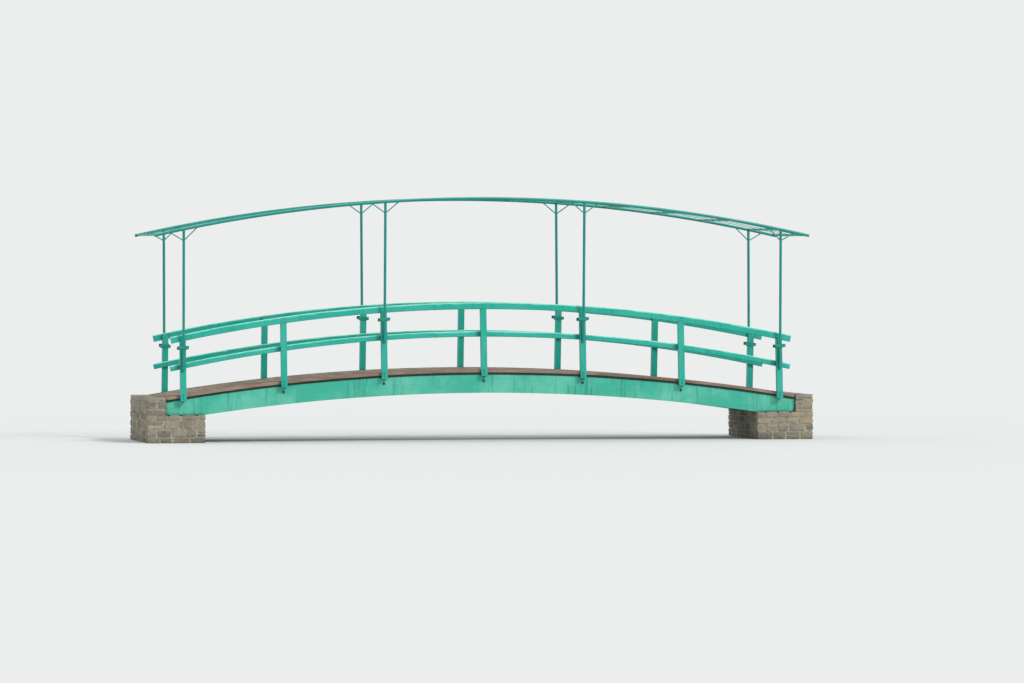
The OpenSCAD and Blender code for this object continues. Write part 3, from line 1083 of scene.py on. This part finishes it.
def wall_stones(masters, low, high, sizes, chance):
    """Coursed stones round the four sides of a block, bonded at its corners."""
    made = []
    joint = sizes.mortar_joint
    depth = min(sizes.stone_depth, (high[0] - low[0] + joint) / 2)

    def lay_row(start, along, total, rise):
        if total < depth / 2:
            return
        corner = list(start)
        for run in shares(total, sizes.stone_length, chance):
            end = [corner[0] + depth, corner[1] + depth, corner[2] + rise]
            end[along] = corner[along] + run
            if chance.random() < SPLIT_CHANCE:
                between = corner[2] + rise * chance.uniform(0.4, 0.6)
                made.append(lay_stone(masters, corner, (end[0], end[1], between), joint, chance))
                made.append(lay_stone(masters, (corner[0], corner[1], between), end, joint, chance))
            else:
                made.append(lay_stone(masters, corner, end, joint, chance))
            corner[along] += run

    low, high = with_margin(low, high, joint)
    z = low[2]
    for course, rise in enumerate(shares(high[2] - low[2], sizes.course_height, chance)):
        back = (depth, 0) if course % 2 else (0, depth)
        for y in (low[1], high[1] - depth):
            lay_row((low[0] + back[0], y, z), 0, high[0] - low[0] - 2 * back[0], rise)
        for x in (low[0], high[0] - depth):
            lay_row((x, low[1] + back[1], z), 1, high[1] - low[1] - 2 * back[1], rise)
        z += rise
    return made


def coping_slabs(masters, low, high, sizes, chance):
    """One row of flat slabs that fills a flat block."""
    made = []
    joint = sizes.mortar_joint * SLAB_JOINT_SHARE
    low, high = with_margin(low, high, joint)
    y = low[1]
    for run in shares(high[1] - low[1], sizes.slab_length, chance):
        made.append(lay_stone(masters, (low[0], y, low[2]), (high[0], y + run, high[2]), joint, chance))
        y += run
    return made


class BRIDGE_OT_abutments(bpy.types.Operator):
    """Build the abutments of coursed rubble with recessed mortar"""
    bl_idname = "bridge.abutments"
    bl_label = "Abutments"

    def execute(self, context):
        sizes = context.scene.bridge_sizes
        stones = [stone_master("stone", n, 0.08) for n in range(STONE_SHAPES)]
        slabs = [stone_master("slab", 20 + n, 0.03) for n in range(SLAB_SHAPES)]
        recess = sizes.mortar_recess
        ledge_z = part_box("side_beam_back")[0].z
        for side, end in zip(ENDS, ("left", "right")):
            chance = random.Random(20 + side)
            low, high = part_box(f"abutment_{end}")
            bed_z = high.z - sizes.coping
            ledge_x = (low.x, high.x)
            back_x = sorted((DECK_END * side, high.x if side > 0 else low.x))
            laid = coping_slabs(slabs, (back_x[0], low.y, bed_z), (back_x[1], high.y, high.z), sizes, chance)
            cores = []
            for (start_x, end_x), bottom, top, core_top in (
                    (ledge_x, 0.0, ledge_z, ledge_z), (back_x, ledge_z, bed_z, high.z)):
                laid += wall_stones(stones, (start_x, low.y, bottom), (end_x, high.y, top), sizes, chance)
                height = core_top - recess
                core = cube("core", (end_x - start_x - 2 * recess, high.y - low.y - 2 * recess, height))
                middle = ((start_x + end_x) / 2, (low.y + high.y) / 2, height / 2)
                core.data.transform(Matrix.Translation(middle))
                cores.append(core)
            mortar = bevel_all(merged(*cores), recess / 2)
            mortar.name = f"mortar_{end}"
            finish_piece(joined(f"rubble_{end}", laid), "stone", "masonry", f"abutment_{end}")
            finish_piece(mortar, "mortar", "masonry")
        discard(*stones, *slabs)
        return {"FINISHED"}


# Stage

def seeing_rays(tree):
    """Mask of the rays that show the backdrop: the camera's own, and those off gloss and through glass."""
    rays = source(tree, "LightPath")
    seen = math_node("MAXIMUM", rays["Is Camera Ray"], rays["Is Glossy Ray"])
    return math_node("MAXIMUM", seen, rays["Is Transmission Ray"])


def floor_material(shade):
    """Pale floor with shadows near the bridge. It melts into the backdrop, and is clear from below."""
    material, place = new_material("Floor")
    tree = material.node_tree
    shader = tree.nodes["Principled BSDF"]
    shader.inputs["Base Color"].default_value = shade
    shader.inputs["Roughness"].default_value = 0.9
    fade = ramp(vector_node("LENGTH", place, output="Value"), CLEAR_RADIUS, FADE_RADIUS)
    glow = add_node("Emission", {"Color": BACKDROP}, tree).outputs[0]
    upper = mixed(times(fade, seeing_rays(tree)), shader.outputs[0], glow)
    under = source(tree, "NewGeometry")["Backfacing"]
    both = mixed(under, upper, source(tree, "BsdfTransparent")[0])
    tree.links.new(both, tree.nodes["Material Output"].inputs["Surface"])
    return material


def light_world(scene):
    """Even daylight from all round, in front of a plain pale backdrop."""
    scene.world = bpy.data.worlds.new("World")
    scene.world.use_nodes = True
    tree = scene.world.node_tree
    sky = tree.nodes["Background"]
    sky.inputs["Color"].default_value = SKY
    sky.inputs["Strength"].default_value = SKY_STRENGTH
    seen = add_node("Background", {"Color": BACKDROP}, tree).outputs[0]
    both = mixed(seeing_rays(tree), sky.outputs[0], seen)
    tree.links.new(both, tree.nodes["World Output"].inputs["Surface"])


def sun(name, turn, strength, spread_angle, tint):
    """A soft distant lamp."""
    lamp = bpy.data.lights.new(name, "SUN")
    lamp.energy = strength
    lamp.angle = math.radians(spread_angle)
    lamp.color = tint
    holder = bpy.data.objects.new(name, lamp)
    holder.rotation_euler = [math.radians(angle) for angle in turn]
    bpy.context.collection.objects.link(holder)


class BRIDGE_OT_stage(bpy.types.Operator):
    """Set the floor, the lamps, the world and the camera"""
    bl_idname = "bridge.stage"
    bl_label = "Stage"

    def execute(self, context):
        scene = context.scene
        floor = primitive(
            "floor", bpy.ops.mesh.primitive_circle_add, vertices=96, radius=FLOOR_RADIUS, fill_type="NGON")
        floor.data.materials.append(floor_material(scene.bridge_colours.floor))
        light_world(scene)
        for lamp in LAMPS:
            sun(*lamp)
        lens = bpy.data.cameras.new("camera")
        lens.lens = CAMERA_LENS
        lens.sensor_width = 36
        lens.clip_end = 1000
        camera = bpy.data.objects.new("camera", lens)
        yaw = math.radians(CAMERA_YAW)
        x = CAMERA_X - CAMERA_DISTANCE * math.sin(yaw)
        camera.location = (x, -CAMERA_DISTANCE * math.cos(yaw), CAMERA_Z)
        camera.rotation_euler = (math.radians(90 + CAMERA_PITCH), 0, -yaw)
        scene.collection.objects.link(camera)
        scene.camera = camera
        scene.view_settings.view_transform = "Standard"
        return {"FINISHED"}


class BRIDGE_PT_panel(bpy.types.Panel):
    """Pieces, sizes and colours of the bridge"""
    bl_idname = "BRIDGE_PT_panel"
    bl_label = "Moon bridge"
    bl_space_type = "VIEW_3D"
    bl_region_type = "UI"
    bl_category = "Moon bridge"

    def draw(self, context):
        for operator in OPERATORS:
            self.layout.operator(operator.bl_idname)
        for settings in (context.scene.bridge_sizes, context.scene.bridge_colours):
            box = self.layout.box()
            for name in settings.__annotations__:
                box.prop(settings, name)


OPERATORS = (
    BRIDGE_OT_finishes, BRIDGE_OT_deck_boards, BRIDGE_OT_deck_edges, BRIDGE_OT_beam_bolts,
    BRIDGE_OT_railing_screws, BRIDGE_OT_clamp_nuts, BRIDGE_OT_trellis_welds, BRIDGE_OT_abutments,
    BRIDGE_OT_stage,
)
CLASSES = (BridgeSizes, BridgeColours, *OPERATORS, BRIDGE_PT_panel)


def register():
    for item in CLASSES:
        bpy.utils.register_class(item)
    bpy.types.Scene.bridge_sizes = bpy.props.PointerProperty(type=BridgeSizes)
    bpy.types.Scene.bridge_colours = bpy.props.PointerProperty(type=BridgeColours)


def unregister():
    del bpy.types.Scene.bridge_colours
    del bpy.types.Scene.bridge_sizes
    for item in reversed(CLASSES):
        bpy.utils.unregister_class(item)


def main():
    """Builds the looks and the stage."""
    register()
    bpy.ops.bridge.finishes()
    bpy.ops.bridge.deck_boards()
    bpy.ops.bridge.deck_edges()
    bpy.ops.bridge.beam_bolts()
    bpy.ops.bridge.railing_screws()
    bpy.ops.bridge.clamp_nuts()
    bpy.ops.bridge.trellis_welds()
    bpy.ops.bridge.abutments()
    bpy.ops.bridge.stage()
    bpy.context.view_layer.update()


if __name__ == "__main__":
    main()
